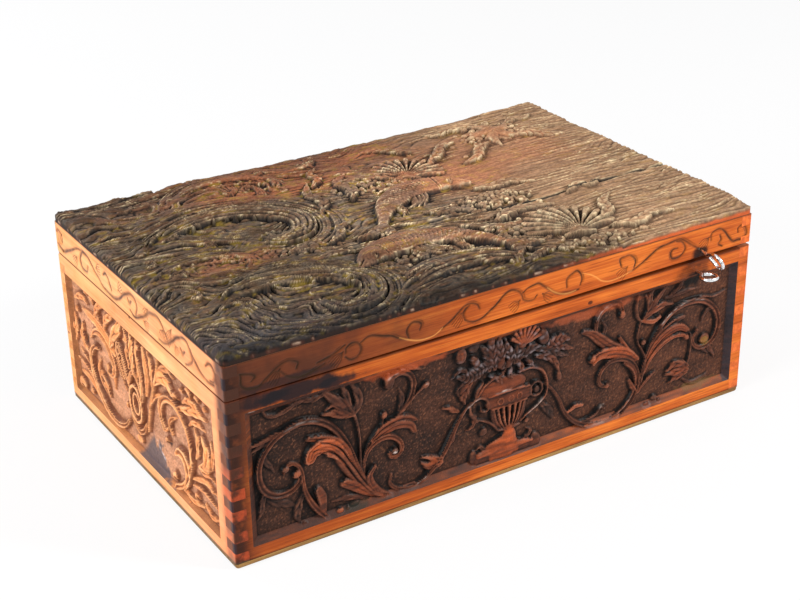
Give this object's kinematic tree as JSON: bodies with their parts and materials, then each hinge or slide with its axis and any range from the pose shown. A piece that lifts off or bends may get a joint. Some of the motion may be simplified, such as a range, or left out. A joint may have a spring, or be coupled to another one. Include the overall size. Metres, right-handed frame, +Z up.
{
  "type": "carved wooden box",
  "caption": "Low carved wooden box with finger-jointed walls, sunk carved panels and a hinged lid of two planks, closed by a pair of screw eyes at the front.",
  "frame": {"origin": "middle of the underside, where the box rests", "axes": "+X to the right along the front, the longest side; +Y to the back, where the hinges are; +Z up"},
  "size_m": [0.4, 0.2807, 0.1504],
  "materials": {
    "long_board_wood": "waxed, stained dark in the carved ground",
    "end_board_wood": "waxed, paler reddish wood",
    "long_rim_wood": "waxed, with incised ornament",
    "end_rim_wood": "waxed, with incised ornament",
    "bottom_wood": "olive brown, worn",
    "top_wood": "dark, rubbed on the raised parts",
    "hinge_brass": "tarnished",
    "pin_steel": "dull",
    "eye_steel": "bright zinc plate"
  },
  "bodies": {
    "box": {"front_wall": "long_board_wood", "back_wall": "long_board_wood", "left_end": "end_board_wood", "right_end": "end_board_wood", "bottom_board": "bottom_wood", "hinge_lower_left": "hinge_brass", "hinge_lower_right": "hinge_brass", "hinge_pin_left": "pin_steel", "hinge_pin_right": "pin_steel", "hinge_screws_lower": "hinge_brass", "eye_lower": "eye_steel"},
    "lid": {"rim_front": "long_rim_wood", "rim_back": "long_rim_wood", "rim_left": "end_rim_wood", "rim_right": "end_rim_wood", "plank_front": "top_wood", "plank_rear": "top_wood", "hinge_upper_left": "hinge_brass", "hinge_upper_right": "hinge_brass", "hinge_screws_upper": "hinge_brass", "eye_upper": "eye_steel"}
  },
  "joints": [
    {"name": "lid_hinge", "type": "hinge", "parent": "box", "child": "lid", "pos_m": [0, 0.126, 0.11465], "axis": [-1, 0, 0], "range_deg": [0, 100]}
  ]
}
